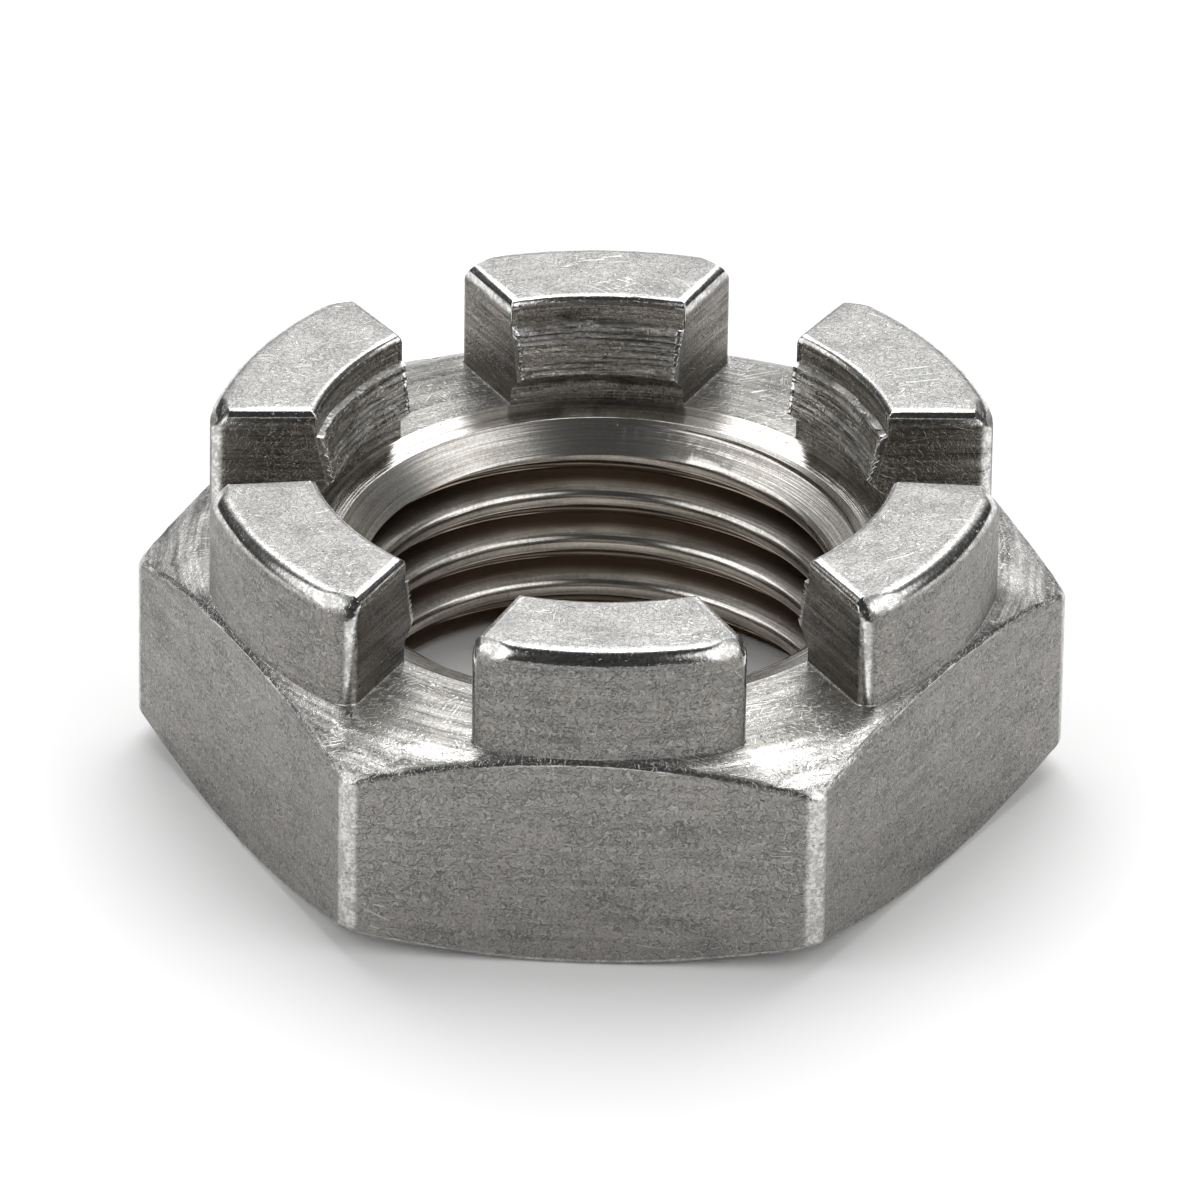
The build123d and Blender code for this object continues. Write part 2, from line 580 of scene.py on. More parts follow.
# Materials: small helpers first, then the effects as node groups
def feed(tree, socket, value):
    if isinstance(value, bpy.types.NodeSocket):
        tree.links.new(value, socket)
    else:
        socket.default_value = value


def reckon(tree, operation, *values):
    node = tree.nodes.new("ShaderNodeMath")
    node.operation = operation
    for socket, value in zip(node.inputs, values):
        feed(tree, socket, value)
    return node.outputs[0]


def spread(tree, value, low, high, newLow=0.0, newHigh=1.0):
    node = tree.nodes.new("ShaderNodeMapRange")
    node.interpolation_type = "SMOOTHSTEP"
    for socket, setting in zip(node.inputs, (value, low, high, newLow, newHigh)):
        feed(tree, socket, setting)
    return node.outputs["Result"]


def joinParts(tree, x, y, z):
    node = tree.nodes.new("ShaderNodeCombineXYZ")
    for socket, value in zip(node.inputs, (x, y, z)):
        feed(tree, socket, value)
    return node.outputs[0]


def splitParts(tree, vector):
    node = tree.nodes.new("ShaderNodeSeparateXYZ")
    feed(tree, node.inputs[0], vector)
    return node.outputs


def stretched(tree, vector, x, y, z):
    # The vector with each of its parts divided by its own length
    node = tree.nodes.new("ShaderNodeVectorMath")
    node.operation = "DIVIDE"
    feed(tree, node.inputs[0], vector)
    feed(tree, node.inputs[1], joinParts(tree, x, y, z))
    return node.outputs[0]


def speckle(tree, vector, detail=2.0, roughness=0.5, distortion=0.0):
    node = tree.nodes.new("ShaderNodeTexNoise")
    feed(tree, node.inputs["Vector"], vector)
    node.inputs["Scale"].default_value = 1
    node.inputs["Detail"].default_value = detail
    node.inputs["Roughness"].default_value = roughness
    node.inputs["Distortion"].default_value = distortion
    return node.outputs["Fac"]


def blendColour(tree, share, first, second):
    node = tree.nodes.new("ShaderNodeMix")
    node.data_type = "RGBA"
    feed(tree, node.inputs[0], share)
    feed(tree, node.inputs[6], first)
    feed(tree, node.inputs[7], second)
    return node.outputs[2]


def blendValue(tree, share, first, second):
    return reckon(tree, "MULTIPLY_ADD", share, reckon(tree, "SUBTRACT", second, first), first)


def startGroup(name, inputs, outputs):
    group = bpy.data.node_groups.new(name, "ShaderNodeTree")
    for label, value in inputs.items():
        kind = "NodeSocketVector" if value is None else "NodeSocketFloat"
        socket = group.interface.new_socket(name=label, in_out="INPUT", socket_type=kind)
        if value is not None:
            socket.default_value = value
    for label, kind in outputs.items():
        group.interface.new_socket(name=label, in_out="OUTPUT", socket_type="NodeSocket" + kind)
    return group, group.nodes.new("NodeGroupInput").outputs, group.nodes.new("NodeGroupOutput").inputs


def useGroup(tree, group, **values):
    node = tree.nodes.new("ShaderNodeGroup")
    node.node_tree = group
    for label, value in values.items():
        feed(tree, node.inputs[label], value)
    return node.outputs


def makeNutPlace():
    # Millimetres, and two vectors whose first part runs across a tool's marks and the others along them
    group, given, result = startGroup(
        "nutPlace", {"Place": None},
        {"Place": "Vector", "Radius": "Float", "Turned": "Vector", "Level": "Vector"},
    )
    place = stretched(group, given["Place"], 1 / metre, 1 / metre, 1 / metre)
    x, y, z = splitParts(group, place)
    squared = reckon(group, "ADD", reckon(group, "MULTIPLY", x, x), reckon(group, "MULTIPLY", y, y))
    radius = reckon(group, "SQRT", squared)
    aroundX = reckon(group, "MULTIPLY", reckon(group, "DIVIDE", x, radius), crownSizes["radius"])
    aroundY = reckon(group, "MULTIPLY", reckon(group, "DIVIDE", y, radius), crownSizes["radius"])
    feed(group, result["Place"], place)
    feed(group, result["Radius"], radius)
    feed(group, result["Turned"], joinParts(group, reckon(group, "ADD", radius, z), aroundX, aroundY))
    feed(group, result["Level"], joinParts(group, z, x, y))
    return group


coarseMarks = {"spacing": 3.7, "run": 2.3}  # times those of the fine marks


def makeToolMarks():
    group, given, result = startGroup(
        "toolMarks", {"Along": None, "Spacing": 0.15, "Run": 6.0, "Shift": 0.0},
        {"Fine": "Float", "Coarse": "Float"},
    )
    shifted = group.nodes.new("ShaderNodeVectorMath")
    feed(group, shifted.inputs[0], given["Along"])
    feed(group, shifted.inputs[1], joinParts(group, given["Shift"], given["Shift"], given["Shift"]))
    along = shifted.outputs[0]
    fine = stretched(group, along, given["Spacing"], given["Run"], given["Run"])
    wide = reckon(group, "MULTIPLY", given["Spacing"], coarseMarks["spacing"])
    longer = reckon(group, "MULTIPLY", given["Run"], coarseMarks["run"])
    feed(group, result["Fine"], speckle(group, fine, 3, 0.6))
    feed(group, result["Coarse"], speckle(group, stretched(group, along, wide, longer, longer), 2, 0.5))
    return group


wormSizes = {"bend": 0.6, "width": 0.07, "rise": 2.6, "grainShare": 0.37}


def makeWormGrain():
    # Fine curled furrows with a raised lip on each side, as pickling and tumbling leave them; their signed
    # lines also serve as painted shading, a lighter and a darker side, in the colour
    group, given, result = startGroup(
        "wormGrain", {"Place": None, "Size": 0.3}, {"FurrowsAndShading": "Float", "Grain": "Float"}
    )
    scaled = stretched(group, given["Place"], given["Size"], given["Size"], given["Size"])
    swirl = speckle(group, scaled, 1, 0.5, wormSizes["bend"])
    offMiddle = reckon(group, "DIVIDE", reckon(group, "SUBTRACT", swirl, 0.5), wormSizes["width"])
    inside = reckon(group, "SUBTRACT", 1.0, reckon(group, "MULTIPLY", offMiddle, offMiddle))
    inside = reckon(group, "MAXIMUM", inside, 0.0)
    finer = reckon(group, "MULTIPLY", given["Size"], wormSizes["grainShare"])
    lines = reckon(group, "MULTIPLY", reckon(group, "MULTIPLY", offMiddle, inside), wormSizes["rise"])
    feed(group, result["FurrowsAndShading"], lines)
    grain = speckle(group, stretched(group, given["Place"], finer, finer, finer), 2, 0.6)
    feed(group, result["Grain"], grain)
    return group


pitSizes = {"patch": 2.6, "patchShare": 0.24, "rim": 0.045}


def makePitting():
    # Pits, more of them in some patches than in others
    group, given, result = startGroup(
        "pitting", {"Place": None, "Size": 0.25, "Stretch": 3.0, "Rarity": 0.66}, {"Mask": "Float"}
    )
    width = reckon(group, "MULTIPLY", given["Size"], given["Stretch"])
    small = speckle(group, stretched(group, given["Place"], width, width, given["Size"]), 2, 0.6)
    patch, patchShare = pitSizes["patch"], pitSizes["patchShare"]
    patches = speckle(group, stretched(group, given["Place"], patch, patch, patch), 2, 0.5)
    start = reckon(group, "ADD", given["Rarity"], patchShare / 2)
    start = reckon(group, "SUBTRACT", start, reckon(group, "MULTIPLY", patches, patchShare))
    feed(group, result["Mask"], spread(group, small, start, reckon(group, "ADD", start, pitSizes["rim"])))
    return group


scratchSizes = {
    "bendScale": 0.14,
    "bendReach": 5.0,
    "sets": ((0.35, 5.0, 0.08), (1.9, 3.2, 0.06), (2.75, 7.0, 0.1)),  # turn, length and width
    "patch": 4.0,
    "patchShare": 0.35,
    "rim": 0.05,
}


def makeScratches():
    # Long fine scratches that wander, in a few patches only
    group, given, result = startGroup("scratches", {"Place": None, "Rarity": 0.7}, {"Mask": "Float"})
    bend = group.nodes.new("ShaderNodeTexNoise")
    bend.inputs["Scale"].default_value = scratchSizes["bendScale"]
    bend.inputs["Detail"].default_value = 1
    feed(group, bend.inputs["Vector"], given["Place"])
    drift = group.nodes.new("ShaderNodeVectorMath")
    drift.operation = "MULTIPLY_ADD"
    feed(group, drift.inputs[0], bend.outputs["Color"])
    feed(group, drift.inputs[1], joinParts(group, *[scratchSizes["bendReach"]] * 3))
    feed(group, drift.inputs[2], given["Place"])
    total = None
    for turn, length, width in scratchSizes["sets"]:
        turned = group.nodes.new("ShaderNodeMapping")
        turned.inputs["Rotation"].default_value = (0.25 * sin(turn * 5), 0.3 * cos(turn * 3), turn)
        turned.inputs["Location"].default_value = (turn * 13, turn * 5, 0)
        feed(group, turned.inputs["Vector"], drift.outputs[0])
        streaks = stretched(group, turned.outputs[0], length, width, width)
        patches = speckle(group, stretched(group, turned.outputs[0], *[scratchSizes["patch"]] * 3), 1, 0.5)
        fewer = reckon(group, "SUBTRACT", 0.5, patches)
        start = reckon(group, "MULTIPLY_ADD", fewer, scratchSizes["patchShare"], given["Rarity"])
        end = reckon(group, "ADD", start, scratchSizes["rim"])
        mask = spread(group, speckle(group, streaks, 0, 0.5), start, end)
        total = mask if total is None else reckon(group, "MAXIMUM", total, mask)
    feed(group, result["Mask"], total)
    return group


def inOrder(tree, first, second):
    return reckon(tree, "MINIMUM", first, second), reckon(tree, "MAXIMUM", first, second)


def offPlane(tree, x, y, angle):
    # How far a place is from the upright plane through the axis whose normal points along the angle
    along = reckon(tree, "MULTIPLY_ADD", x, cos(angle), reckon(tree, "MULTIPLY", y, sin(angle)))
    return reckon(tree, "ABSOLUTE", along)


# How many times narrower the worn band is beside each kind of edge
bandShares = {"lugSide": 1.5, "inner": 1.8, "burr": 3.0, "hexCorner": 1.4, "arc": 3.5}
wearPatch = 0.9


def makeEdgeWear():
    # 1 on the rounded edges of the lugs and the hexagon, falling to 0 on the faces beside them
    group, given, result = startGroup(
        "edgeWear", {"Place": None, "Radius": 0.0, "Near": 0.2, "Far": 0.9, "Uneven": 0.5, "HexShare": 0.7},
        {"Wear": "Float"},
    )
    x, y, z = splitParts(group, given["Place"])
    radius = given["Radius"]

    sides = None
    for k in range(crownSizes["lugs"] // 2):
        side = offPlane(group, x, y, crownSizes["slotTurn"] + pi / 2 + k * 2 * pi / crownSizes["lugs"])
        sides = side if sides is None else reckon(group, "MINIMUM", sides, side)
    sides = reckon(group, "SUBTRACT", sides, crownSizes["slotWidth"] / 2)
    lean = tan(crownSizes["leanAngle"])
    innerAtZero = crownSizes["ridgeRadius"] - (bodyHeight + crownSizes["ridgeHeight"]) * lean
    inner = reckon(group, "SUBTRACT", radius, reckon(group, "MULTIPLY_ADD", z, lean, innerAtZero))
    underTop = reckon(group, "SUBTRACT", hexSizes["height"], z)
    lower, higher = inOrder(group, underTop, reckon(group, "SUBTRACT", crownSizes["radius"], radius))
    fromSides = reckon(group, "MULTIPLY", sides, bandShares["lugSide"])
    outerGap = reckon(group, "MAXIMUM", lower, reckon(group, "MINIMUM", higher, fromSides))
    burrs = reckon(group, "MULTIPLY", reckon(group, "MINIMUM", sides, underTop), bandShares["burr"])
    fromInner = reckon(group, "MULTIPLY", reckon(group, "ABSOLUTE", inner), bandShares["inner"])
    lugGap = reckon(group, "MINIMUM", outerGap, reckon(group, "MAXIMUM", fromInner, burrs))

    flats = [
        reckon(group, "SUBTRACT", hexSizes["acrossFlats"] / 2, offPlane(group, x, y, pi / 2 + k * pi / 3))
        for k in range(3)
    ]
    nearer, farther = inOrder(group, flats[0], flats[1])
    second = reckon(group, "MINIMUM", farther, reckon(group, "MAXIMUM", nearer, flats[2]))
    nearest = reckon(group, "MINIMUM", nearer, flats[2])
    topSlope, bottomSlope = tan(hexSizes["topAngle"]), tan(hexSizes["bottomAngle"])
    underCone = reckon(group, "MULTIPLY_ADD", radius, -topSlope, bodyHeight + crownSizes["radius"] * topSlope)
    underCone = reckon(group, "SUBTRACT", underCone, z)
    overBottom = reckon(group, "MULTIPLY_ADD", radius, -bottomSlope, hexSizes["bearingRadius"] * bottomSlope)
    overBottom = reckon(group, "ADD", overBottom, z)
    arcs = reckon(group, "MAXIMUM", nearest, reckon(group, "MINIMUM", underCone, overBottom))
    fromCorner = reckon(group, "MULTIPLY", second, bandShares["hexCorner"])
    hexGap = reckon(group, "MINIMUM", fromCorner, reckon(group, "MULTIPLY", arcs, bandShares["arc"]))

    onLug = reckon(group, "GREATER_THAN", z, bodyHeight + 0.03)
    gap = reckon(group, "MULTIPLY_ADD", onLug, reckon(group, "SUBTRACT", lugGap, hexGap), hexGap)
    broad = speckle(group, stretched(group, given["Place"], wearPatch, wearPatch, wearPatch), 3, 0.6)
    gap = reckon(group, "MULTIPLY_ADD", reckon(group, "SUBTRACT", broad, 0.5), given["Uneven"], gap)
    share = spread(group, onLug, 0.0, 1.0, given["HexShare"], 1.0)
    wear = spread(group, gap, given["Near"], given["Far"], 1.0, 0.0)
    feed(group, result["Wear"], reckon(group, "MULTIPLY", wear, share))
    return group


nutPlace = makeNutPlace()
toolMarks = makeToolMarks()
wormGrain = makeWormGrain()
pitting = makePitting()
scratching = makeScratches()
edgeWear = makeEdgeWear()

# The finish of each zone: sizes and depths are in millimetres, colours are linear
flatLook = {
    "marks": "Level", "spacing": 0.16, "run": 5.0, "markTone": 0.35, "coarseTone": 0.3, "markDepth": 0.010,
    "wormSize": 0.42, "wormShading": 0.8, "grainTone": 0.8, "wormDepth": 0.012,
    "low": (0.15, 0.147, 0.14, 1), "high": (0.40, 0.39, 0.375, 1), "roughness": (0.36, 0.52),
    "stainAndShadeColour": (0.2, 0.178, 0.15, 1), "stainShare": 0.25, "shift": 0.0, "wear": True,
    "pitSize": 0.14, "pitStretch": 3.5, "pitRarity": 0.69, "pitDepth": 0.03,
    "pitColour": (0.05, 0.045, 0.04, 1), "scratchColour": (0.6, 0.59, 0.57, 1),
    "scratchRarity": 0.8, "scratchDepth": 0.004,
}
outerLook = dict(
    flatLook, spacing=0.13, markTone=0.45, low=(0.14, 0.137, 0.13, 1), high=(0.37, 0.36, 0.345, 1)
)
topLook = dict(
    flatLook, marks="Turned", spacing=0.2, run=1.5, markTone=0.2, coarseTone=0.25, markDepth=0.006,
    wormSize=0.36, wormShading=0.35, grainTone=0.6, wormDepth=0.007, low=(0.19, 0.187, 0.181, 1),
    high=(0.45, 0.446, 0.436, 1), stainShare=0.05,
    pitStretch=1.3, pitDepth=0.02, pitColour=(0.12, 0.11, 0.1, 1),
    scratchRarity=0.74, scratchDepth=0.008, scratchColour=(0.85, 0.85, 0.83, 1), roughness=(0.34, 0.5),
)
coneLook = dict(
    flatLook, marks="Turned", spacing=0.16, run=8.0, markTone=1.0, coarseTone=0.8, markDepth=0.02,
    wormShading=0.1, grainTone=0.4, wormDepth=0.004, low=(0.11, 0.107, 0.1, 1), high=(0.74, 0.73, 0.71, 1),
    stainShare=0.1, pitRarity=0.7, pitStretch=1.5, scratchRarity=0.7, scratchDepth=0.01,
    scratchColour=(0.9, 0.9, 0.88, 1), roughness=(0.2, 0.34), shift=31.0,
)
floorLook = dict(
    coneLook, markTone=0.8, low=(0.12, 0.117, 0.11, 1), high=(0.43, 0.42, 0.4, 1), stainShare=0.15,
    pitRarity=0.68, roughness=(0.3, 0.46),
)
wallLook = dict(
    flatLook, spacing=0.13, run=4.0, markTone=0.8, coarseTone=0.7, markDepth=0.025,
    wormShading=0.2, grainTone=0.5,
    low=(0.05, 0.045, 0.039, 1), high=(0.36, 0.343, 0.315, 1), stainAndShadeColour=(0.12, 0.096, 0.072, 1), stainShare=0.5,
    pitRarity=0.68, scratchRarity=0.78, scratchColour=(0.7, 0.68, 0.65, 1), roughness=(0.3, 0.45),
)
tornLook = dict(
    wallLook, marks="Turned", spacing=0.08, run=5.0, markDepth=0.034, low=(0.05, 0.045, 0.038, 1),
    high=(0.66, 0.635, 0.59, 1), stainAndShadeColour=(0.13, 0.1, 0.078, 1), stainShare=0.4, roughness=(0.2, 0.32),
)
# The thread's roots get brown oil and painted shade, darker out towards the root radius between the given
# radii
threadLook = dict(
    tornLook, spacing=0.14, run=12.0, markTone=0.6, markDepth=0.008, wormShading=0.0, wormDepth=0.0,
    low=(0.28, 0.26, 0.23, 1), high=(0.85, 0.83, 0.79, 1), stainShare=0.1, oilAndShadeRadii=(13.6, 14.5),
    stainAndShadeColour=(0.18, 0.14, 0.107, 1), pitRarity=0.85, pitDepth=0.0,
    scratchRarity=0.95, roughness=(0.15, 0.25), wear=False,
)
# Painted shade: the crest lands are a darker copy of the thread's finish, standing in for the dark bore they
# reflect
shadedLandLook = dict(threadLook, low=(0.2, 0.17, 0.135, 1), high=(0.65, 0.6, 0.53, 1), oilAndShadeRadii=(15, 16))
dishLook = dict(
    coneLook, spacing=0.12, run=14.0, markDepth=0.014, wormShading=0.0, wormDepth=0.0,
    low=(0.22, 0.21, 0.195, 1), high=(0.95, 0.935, 0.905, 1), stainAndShadeColour=(0.12, 0.098, 0.075, 1), stainShare=0.35,
    scratchRarity=0.9, wear=False, roughness=(0.12, 0.22),
)
# Painted highlight: the small fillets at the foot of the slot walls are much paler than the floor, a bright
# line along each seam
seamHighlightLook = dict(
    coneLook, markTone=0.4, low=(0.4, 0.395, 0.38, 1), high=(0.9, 0.895, 0.88, 1), stainShare=0.1,
    roughness=(0.2, 0.32),
)
edgeLook = {
    "near": 0.6, "far": 1.02, "uneven": 0.28, "hexShare": 0.72, "grainSize": 0.2, "patchSize": 0.8,
    "low": (0.42, 0.415, 0.4, 1), "high": (0.8, 0.795, 0.78, 1), "pits": 0.9, "depth": 0.006, "curlShading": 0.14,
    "roughness": (0.1, 0.18), "toneRange": (0.8, 1.25), "roughRange": (0.3, 0.7),
}
steelSizes = {
    "mottle": 2.2,
    "mottleTone": 0.6,
    "lineShading": 0.3,
    "toneRange": (0.1, 0.9),
    "stainRange": (0.4, 0.65),
    "oilAndShadeShare": 0.95,
    "oilAndShadeBelow": (2.6, 1.4),  # under the top of the body, where the oil and painted root shade are whole and where both are gone, the oil wiped off
    "coarseDepth": 1.6,
    "scratchShare": 0.6,
    "pitShare": 0.8,
}


def makeSteel(name, look):
    material = bpy.data.materials.new(name)
    material.use_nodes = True
    tree = material.node_tree
    shader = tree.nodes["Principled BSDF"]
    shader.inputs["Metallic"].default_value = 1
    coordinates = tree.nodes.new("ShaderNodeTexCoord")
    place = useGroup(tree, nutPlace, Place=coordinates.outputs["Object"])
    marks = useGroup(
        tree, toolMarks, Along=place[look["marks"]], Spacing=look["spacing"], Run=look["run"],
        Shift=look["shift"],
    )
    worms = useGroup(tree, wormGrain, Place=place["Place"], Size=look["wormSize"])
    pits = useGroup(
        tree, pitting, Place=place["Place"], Size=look["pitSize"], Stretch=look["pitStretch"],
        Rarity=look["pitRarity"],
    )["Mask"]
    scratches = useGroup(tree, scratching, Place=place["Place"], Rarity=look["scratchRarity"])["Mask"]
    mottle = speckle(tree, stretched(tree, place["Place"], *[steelSizes["mottle"]] * 3), 4, 0.6)

    # The face as the tool and the pickling left it, with painted shading beside each furrow
    tone = reckon(tree, "MULTIPLY_ADD", reckon(tree, "SUBTRACT", marks["Fine"], 0.5), look["markTone"], 0.5)
    for value, middle, share in (
        (marks["Coarse"], 0.5, look["coarseTone"]),
        (worms["Grain"], 0.5, look["grainTone"]),
        # Painted shading: the furrows' lines lighten one side of each furrow and darken the other
        (worms["FurrowsAndShading"], 0.0, steelSizes["lineShading"] * look["wormShading"]),
        (mottle, 0.5, steelSizes["mottleTone"]),
    ):
        tone = reckon(tree, "MULTIPLY_ADD", reckon(tree, "SUBTRACT", value, middle), share, tone)
    colour = blendColour(tree, spread(tree, tone, *steelSizes["toneRange"]), look["low"], look["high"])
    stainAndShadeMask = reckon(tree, "MULTIPLY", spread(tree, mottle, *steelSizes["stainRange"]), look["stainShare"])
    if "oilAndShadeRadii" in look:
        # Brown oil and painted shade in the roots, darker out towards the root radius and gone near the open
        # mouth, where the oil is wiped off
        rootOilAndShade = spread(tree, place["Radius"], *look["oilAndShadeRadii"], 0.0, steelSizes["oilAndShadeShare"])
        height = splitParts(tree, place["Place"])[2]
        whole, gone = (bodyHeight - depth for depth in steelSizes["oilAndShadeBelow"])
        kept = spread(tree, height, whole, gone, 1.0, 0.0)
        stainAndShadeMask = reckon(tree, "MAXIMUM", stainAndShadeMask, reckon(tree, "MULTIPLY", rootOilAndShade, kept))
    colour = blendColour(tree, stainAndShadeMask, colour, look["stainAndShadeColour"])
    scratched = reckon(tree, "MULTIPLY", scratches, steelSizes["scratchShare"])
    colour = blendColour(tree, scratched, colour, look["scratchColour"])
    roughness = spread(tree, tone, *steelSizes["toneRange"], look["roughness"][1], look["roughness"][0])
    height = reckon(tree, "MULTIPLY", marks["Fine"], look["markDepth"])
    for value, depth in (
        (marks["Coarse"], look["markDepth"] * steelSizes["coarseDepth"]),
        (worms["Grain"], look["wormDepth"]),
        (worms["FurrowsAndShading"], look["wormDepth"]),
        (scratches, -look["scratchDepth"]),
    ):
        height = reckon(tree, "MULTIPLY_ADD", value, depth, height)

    # Its edges, worn smooth and bright
    if look["wear"]:
        worn = useGroup(
            tree, edgeWear, Place=place["Place"], Radius=place["Radius"], Near=edgeLook["near"],
            Far=edgeLook["far"], Uneven=edgeLook["uneven"], HexShare=edgeLook["hexShare"],
        )["Wear"]
        grainSize, patchSize = edgeLook["grainSize"], edgeLook["patchSize"]
        grain = speckle(tree, stretched(tree, place["Place"], grainSize, grainSize, grainSize), 2, 0.6)
        patch = speckle(tree, stretched(tree, place["Place"], patchSize, patchSize, patchSize), 2, 0.6)
        edgeTone = reckon(tree, "ADD", grain, patch)
        # Painted shading of curled furrows in the edge tone: one side lighter, the other darker
        edgeTone = reckon(tree, "MULTIPLY_ADD", worms["FurrowsAndShading"], edgeLook["curlShading"], edgeTone)
        edgeTone = spread(tree, edgeTone, *edgeLook["toneRange"])
        edgeColour = blendColour(tree, edgeTone, edgeLook["low"], edgeLook["high"])
        colour = blendColour(tree, worn, colour, edgeColour)
        smooth, rough = edgeLook["roughness"]
        edgeRoughness = spread(tree, patch, *edgeLook["roughRange"], rough, smooth)
        roughness = blendValue(tree, worn, roughness, edgeRoughness)
        height = blendValue(tree, worn, height, reckon(tree, "MULTIPLY", grain, edgeLook["depth"]))
        pits = reckon(tree, "MULTIPLY", pits, spread(tree, worn, 0, 1, 1.0, edgeLook["pits"]))

    pitted = reckon(tree, "MULTIPLY", pits, steelSizes["pitShare"])
    colour = blendColour(tree, pitted, colour, look["pitColour"])
    feed(tree, shader.inputs["Base Color"], colour)
    feed(tree, shader.inputs["Roughness"], roughness)
    bump = tree.nodes.new("ShaderNodeBump")
    bump.inputs["Strength"].default_value = 1
    bump.inputs["Distance"].default_value = 1 / metre
    feed(tree, bump.inputs["Height"], reckon(tree, "MULTIPLY_ADD", pits, -look["pitDepth"], height))
    feed(tree, shader.inputs["Normal"], bump.outputs[0])
    return material


zoneLooks = {
    "flat": flatLook, "outer": outerLook, "top": topLook, "cone": coneLook, "floor": floorLook,
    "wall": wallLook, "torn": tornLook, "thread": threadLook, "shadedLand": shadedLandLook, "dish": dishLook,
    "seam": seamHighlightLook,
}
zoneNames = list(zoneLooks)

# The part of a face's normal, up or outwards, past which it belongs to a zone
zoneFacings = {
    "seam": 0.1, "top": 0.7, "outer": 0.7, "slanted": 0.5, "dish": 0.87, "floor": 0.98, "shadedLand": 0.3,
    "cone": 0.75,
}
# How far a zone reaches past its edge
zoneMargins = {"body": 0.004, "torn": 0.35, "dishInner": 0.1, "dishOuter": 0.05, "mouth": 0.02, "crest": 0.05}


def zoneOf(centre, normal):
    # centre is in millimetres
    radius = hypot(centre.x, centre.y)
    outwards = (normal.x * centre.x + normal.y * centre.y) / radius
    level = abs(normal.z)
    if centre.z > bodyHeight + zoneMargins["body"]:
        # The seam fillets take the painted-highlight finish
        if centre.z < bodyHeight + crownSizes["seamRound"] and normal.z > zoneFacings["seam"]:
            return "seam"
        if normal.z > zoneFacings["top"]:
            return "top"
        if outwards > zoneFacings["outer"]:
            return "outer"
        inside = radius < crownSizes["undercutRadius"] + zoneMargins["torn"]
        if inside and centre.z < hexSizes["height"] - crownSizes["innerRound"]:
            return "torn" if outwards < -zoneFacings["slanted"] else "wall"
        return "outer" if outwards > zoneFacings["slanted"] else "wall"

    mouthRadius = threadSizes["mouthRadius"]
    dishInner = mouthRadius - zoneMargins["dishInner"]
    dishOuter = mouthRadius + threadSizes["dishWidth"] + zoneMargins["dishOuter"]
    if normal.z > zoneFacings["dish"] and dishInner < radius < dishOuter:
        return "dish"
    if level > zoneFacings["floor"]:
        return "floor"
    if radius < mouthRadius + zoneMargins["mouth"]:
        # Crest lands take the painted-shade finish
        onCrest = level < zoneFacings["shadedLand"] and radius < threadSizes["crestRadius"] + zoneMargins["crest"]
        return "shadedLand" if onCrest else "thread"
    return "cone" if level > zoneFacings["cone"] else "flat"


print("Finishing the steel")
nutBody.data.materials.clear()
for name, look in zoneLooks.items():
    nutBody.data.materials.append(makeSteel(name + "Steel", look))
zoneCounts = dict.fromkeys(zoneNames, 0)
for face in nutBody.data.polygons:
    zone = zoneOf(face.center * metre, face.normal)
    zoneCounts[zone] += 1
    face.material_index = zoneNames.index(zone)
print("zones", zoneCounts)

# Floor
print("Laying the floor")
paperSizes = {"width": 4, "colour": (0.95, 0.95, 0.95, 1), "roughness": 0.9, "specular": 0.1}
bpy.ops.object.select_all(action="DESELECT")
bpy.ops.mesh.primitive_plane_add(size=paperSizes["width"], location=(0, 0, 0))
floor = bpy.context.object
floor.name = "floor"
paper = bpy.data.materials.new("paper")
paper.use_nodes = True
paperShader = paper.node_tree.nodes["Principled BSDF"]
paperShader.inputs["Base Color"].default_value = paperSizes["colour"]
paperShader.inputs["Roughness"].default_value = paperSizes["roughness"]
paperShader.inputs["Specular IOR Level"].default_value = paperSizes["specular"]
floor.data.materials.append(paper)

# Light
print("Setting the light")
bpy.context.scene.view_settings.view_transform = "Standard"
lightSizes = {
    "backSky": 0.95,
    "lowSky": 0.42,
    "sideSky": 0.15,
    "frontSky": 0.05,
    "frontGlow": 0.6,
    "wallRise": (0.1, 0.5),  # parts of the sky's direction between which one tone turns into the next
    "wallEnd": (0.45, 0.66),
    "glowRise": (0.02, 0.25),
    "frontToBack": (-0.05, 0.25),
    "lampLevel": 1.7,
    "lampTurn": radians(22),
    "lampRise": radians(33),
    "lampReach": (0.81, 0.91),
    "softboxAcross": 0.95,
    "softboxPlace": (0, 0.45, 0.72),
    "softboxPower": 5.1,
}
world = bpy.data.worlds.new("studio")
bpy.context.scene.world = world
world.use_nodes = True
sky = world.node_tree
skyPlace = sky.nodes.new("ShaderNodeTexCoord")
skyX, skyY, skyZ = splitParts(sky, skyPlace.outputs["Generated"])
offMiddle = reckon(sky, "ABSOLUTE", skyX)
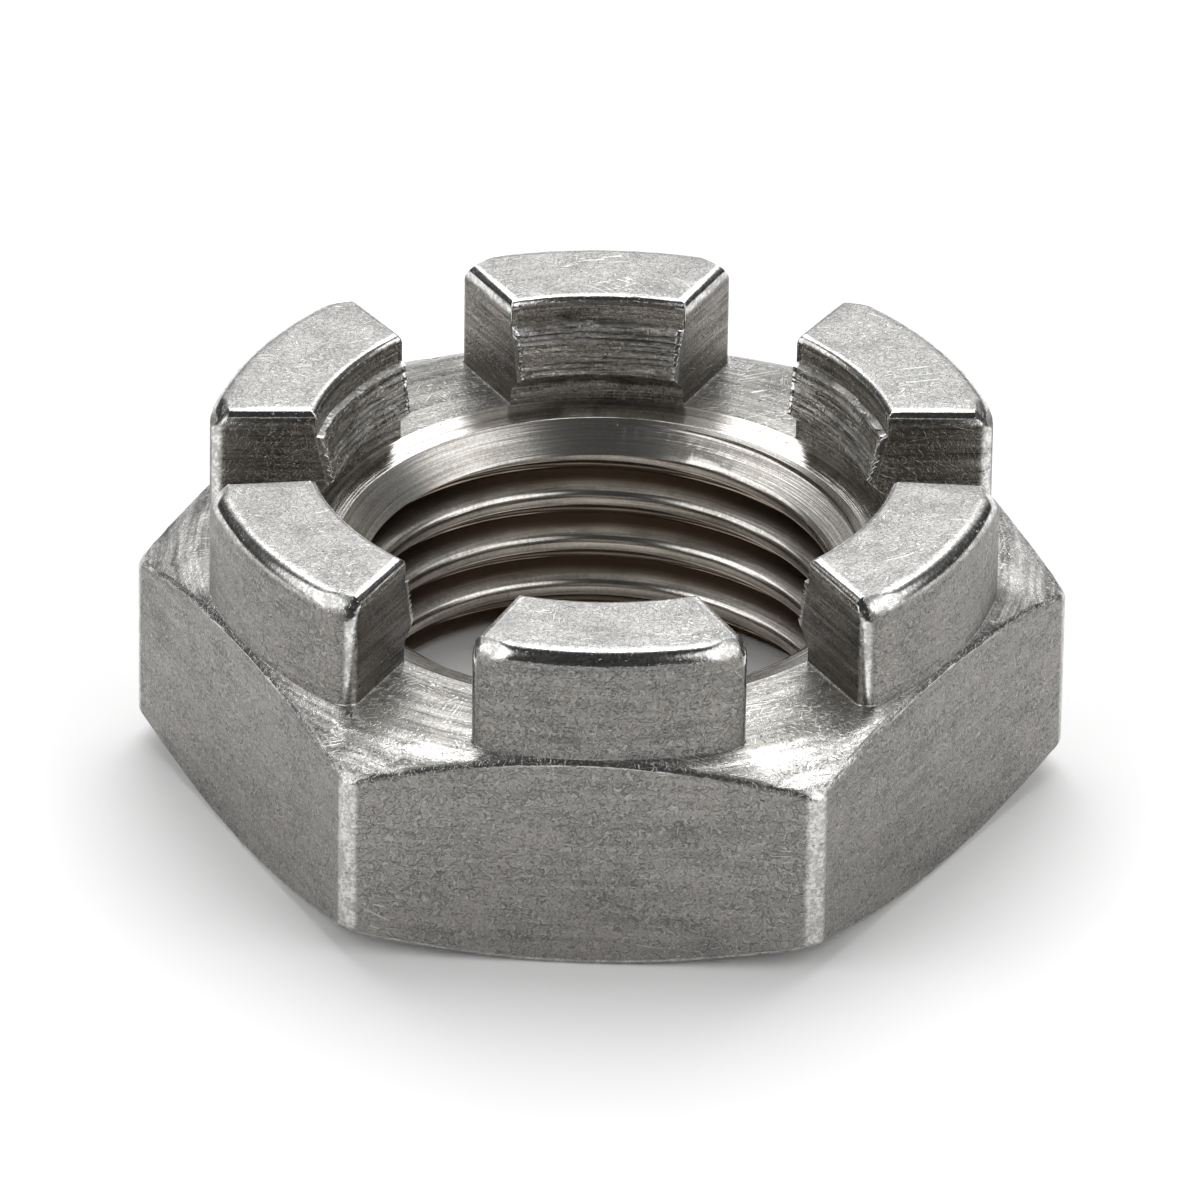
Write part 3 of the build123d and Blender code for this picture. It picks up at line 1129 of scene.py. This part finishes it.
# A pale wall behind the nut, darkness to its sides and round the camera, and a broad lamp on each side of
# the camera
rising = spread(sky, skyZ, *lightSizes["wallRise"], lightSizes["lowSky"], 1.0)
behind = reckon(sky, "MULTIPLY", rising, lightSizes["backSky"])
ending = spread(sky, offMiddle, *lightSizes["wallEnd"], 1.0, lightSizes["sideSky"])
behind = reckon(sky, "MULTIPLY", behind, ending)
front = spread(sky, skyZ, *lightSizes["glowRise"], lightSizes["frontGlow"], lightSizes["frontSky"])
around = blendValue(sky, spread(sky, skyY, *lightSizes["frontToBack"]), front, behind)
towardsLamp = reckon(sky, "MULTIPLY", skyZ, sin(lightSizes["lampRise"]))
for part, share in ((offMiddle, cos(lightSizes["lampTurn"])), (skyY, -sin(lightSizes["lampTurn"]))):
    towardsLamp = reckon(sky, "MULTIPLY_ADD", part, share * cos(lightSizes["lampRise"]), towardsLamp)
lamps = spread(sky, towardsLamp, *lightSizes["lampReach"], 0.0, lightSizes["lampLevel"])
level = reckon(sky, "MAXIMUM", around, lamps)
feed(sky, sky.nodes["Background"].inputs["Color"], joinParts(sky, level, level, level))
sky.nodes["Background"].inputs["Strength"].default_value = 1.0

softbox = bpy.data.lights.new("softbox", "AREA")
softbox.shape = "DISK"
softbox.size = lightSizes["softboxAcross"]
softbox.energy = lightSizes["softboxPower"]
softboxObject = bpy.data.objects.new("softbox", softbox)
softboxObject.location = lightSizes["softboxPlace"]
softboxObject.rotation_euler = Vector(lightSizes["softboxPlace"]).to_track_quat("Z", "Y").to_euler()
bpy.context.scene.collection.objects.link(softboxObject)

# Camera
print("Placing the camera")
cameraSizes = {
    "azimuth": radians(-87.74),
    "elevation": radians(31.35),
    "distance": 0.983,
    "roll": radians(0.843),
    "aimHeight": 0.00996,
    "aimSide": -0.00007,
    "lens": 518.6,
    "sensor": 36,
    "farthest": 10,
}
camera = bpy.data.cameras.new("camera")
cameraObject = bpy.data.objects.new("camera", camera)
bpy.context.scene.collection.objects.link(cameraObject)
bpy.context.scene.camera = cameraObject
back = Vector((
    cos(cameraSizes["elevation"]) * cos(cameraSizes["azimuth"]),
    cos(cameraSizes["elevation"]) * sin(cameraSizes["azimuth"]),
    sin(cameraSizes["elevation"]),
))
aim = Vector((cameraSizes["aimSide"], 0, cameraSizes["aimHeight"]))
cameraObject.location = aim + back * cameraSizes["distance"]
turned = back.to_track_quat("Z", "Y").to_matrix() @ Matrix.Rotation(cameraSizes["roll"], 3, "Z")
cameraObject.rotation_euler = turned.to_euler()
camera.lens = cameraSizes["lens"]
camera.sensor_width = cameraSizes["sensor"]
camera.clip_end = cameraSizes["farthest"]
